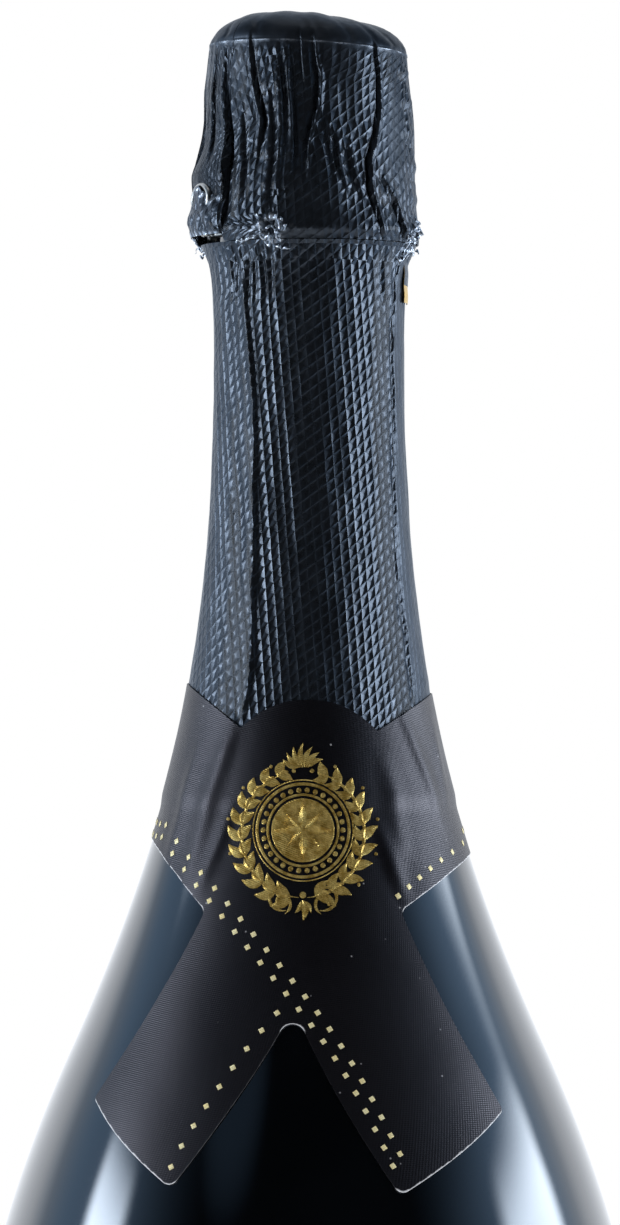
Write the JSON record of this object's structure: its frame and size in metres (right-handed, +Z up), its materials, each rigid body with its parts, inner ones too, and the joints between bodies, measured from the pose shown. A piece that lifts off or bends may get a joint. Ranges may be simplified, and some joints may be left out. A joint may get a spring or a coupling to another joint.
{
  "type": "champagne bottle",
  "caption": "Magnum sparkling wine bottle, sealed: wired mushroom cork under a lift-off embossed foil hood, neck sleeve and crossed collar label.",
  "frame": {"origin": "centre of the bearing ring under the base, on the surface that the bottle stands on", "axes": "+Z up along the bottle's axis, -Y towards the crossing of the collar label, +X to its right"},
  "size_m": [0.1146, 0.1146, 0.3926],
  "materials": {
    "glass": "very dark bottle glass, polished",
    "cork_agglomerate": "agglomerated cork granules",
    "cork_natural": "natural cork with pores",
    "tinplate": "stamped tinplate",
    "wire": "galvanised soft wire",
    "foil": "slate-blue lacquered foil, embossed with fine crossed lines",
    "gold_backing": "gold-lacquered foil",
    "label": "near-black ribbed paper with stamped gold lozenges and ornament"
  },
  "bodies": {
    "bottle": {"glass_bottle": "glass", "foil_sleeve": "foil", "collar_label": "label"},
    "cork": {"cork_trunk": "cork_agglomerate", "cork_disc_upper": "cork_natural", "cork_disc_lower": "cork_natural"},
    "cage": {"crown_cap": "tinplate", "cage_wire_1": "wire", "cage_wire_2": "wire", "cage_wire_3": "wire", "cage_wire_4": "wire", "cage_belt": "wire"},
    "hood": {"foil_hood": "foil"},
    "loop": {"cage_loop": "wire", "loop_flap": "foil"},
    "tab": {"tear_tab": "gold_backing"}
  },
  "joints": [
    {"name": "cork_pull", "type": "slide", "parent": "bottle", "child": "cork", "axis": [0, 0, 1], "range_m": [0, 0.06], "deforming": ["cage_wire_1", "cage_wire_2", "cage_wire_3", "cage_wire_4", "cage_belt"]},
    {"name": "cage_lift", "type": "slide", "parent": "cork", "child": "cage", "axis": [0, 0, 1], "range_m": [0, 0.05], "deforming": ["cage_wire_1", "cage_wire_2", "cage_wire_3", "cage_wire_4", "cage_belt"]},
    {"name": "hood_lift", "type": "slide", "parent": "cage", "child": "hood", "axis": [0, 0, 1], "range_m": [0, 0.07]},
    {"name": "loop_fold", "type": "hinge", "parent": "cage", "child": "loop", "pos_m": [-0.01729, -0.00629, 0.3548], "axis": [0.342, -0.9397, 0], "range_deg": [0, 90]},
    {"name": "tab_peel", "type": "hinge", "parent": "bottle", "child": "tab", "pos_m": [0.01711, 0.00241, 0.3468], "axis": [0.1772, 0.0249, 0.9839], "range_deg": [0, 100]}
  ]
}
